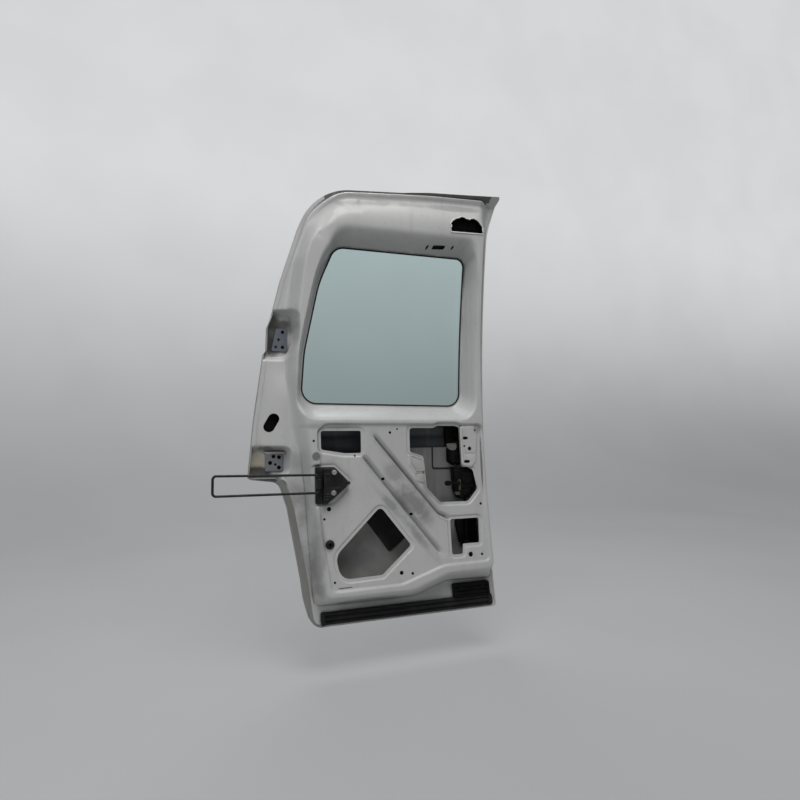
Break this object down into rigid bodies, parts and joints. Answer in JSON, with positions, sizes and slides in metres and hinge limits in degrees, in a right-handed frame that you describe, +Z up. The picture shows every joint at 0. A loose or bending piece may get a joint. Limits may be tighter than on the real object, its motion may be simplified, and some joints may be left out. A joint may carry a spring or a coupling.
{
  "type": "campervan rear barn door",
  "caption": "Bowed pressed-steel rear van door with a bonded window, open inner panel, hinge pads and a swinging wire check loop, stripped of trim.",
  "frame": {"origin": "centre of the lower hinge pad's face", "axes": "+X from the hinge edge to the lock edge, +Y out of the van through the skin, +Z up along the hinge line"},
  "size_m": [0.768, 0.1237, 1.1356],
  "materials": {
    "body_paint": "silver-white paint, grimy",
    "tinted_glass": "clear, faint green",
    "black_rubber": "matt",
    "black_steel": "satin black",
    "wire_steel": "dull",
    "zinc_steel": "zinc plated",
    "black_plastic": "matt",
    "grey_plastic": "matt",
    "grey_rubber": "matt, dusty"
  },
  "bodies": {
    "door": {"outer_skin": "body_paint", "window_frame": "body_paint", "inner_panel": "body_paint", "lower_hinge_pad": "body_paint", "upper_hinge_pad": "body_paint", "window_glass": "tinted_glass", "window_seal": "black_rubber", "check_bracket": "black_steel", "check_bolt_upper": "zinc_steel", "check_bolt_lower": "zinc_steel", "lock_plate": "body_paint", "latch_case": "black_plastic", "handle_cup": "black_plastic", "handle_grip": "black_plastic", "lock_barrel": "zinc_steel", "bottom_strip": "black_rubber", "bolt_guide": "black_plastic", "lock_edge_seal": "grey_rubber", "top_latch_box": "black_plastic", "damping_pad": "black_rubber", "belt_beam": "body_paint", "hole_plug": "grey_plastic", "rubber_buffer": "black_rubber"},
    "check": {"check_loop": "wire_steel"},
    "lever": {"latch_lever": "black_plastic"}
  },
  "joints": [
    {"name": "check_swing", "type": "hinge", "parent": "door", "child": "check", "pos_m": [0.097, -0.07299, -0.058], "axis": [0, 0, 1], "range_deg": [0, 95]},
    {"name": "lever_turn", "type": "hinge", "parent": "door", "child": "lever", "pos_m": [0.486, -0.045, -0.07], "axis": [0, -1, 0], "range_deg": [0, 20]}
  ]
}
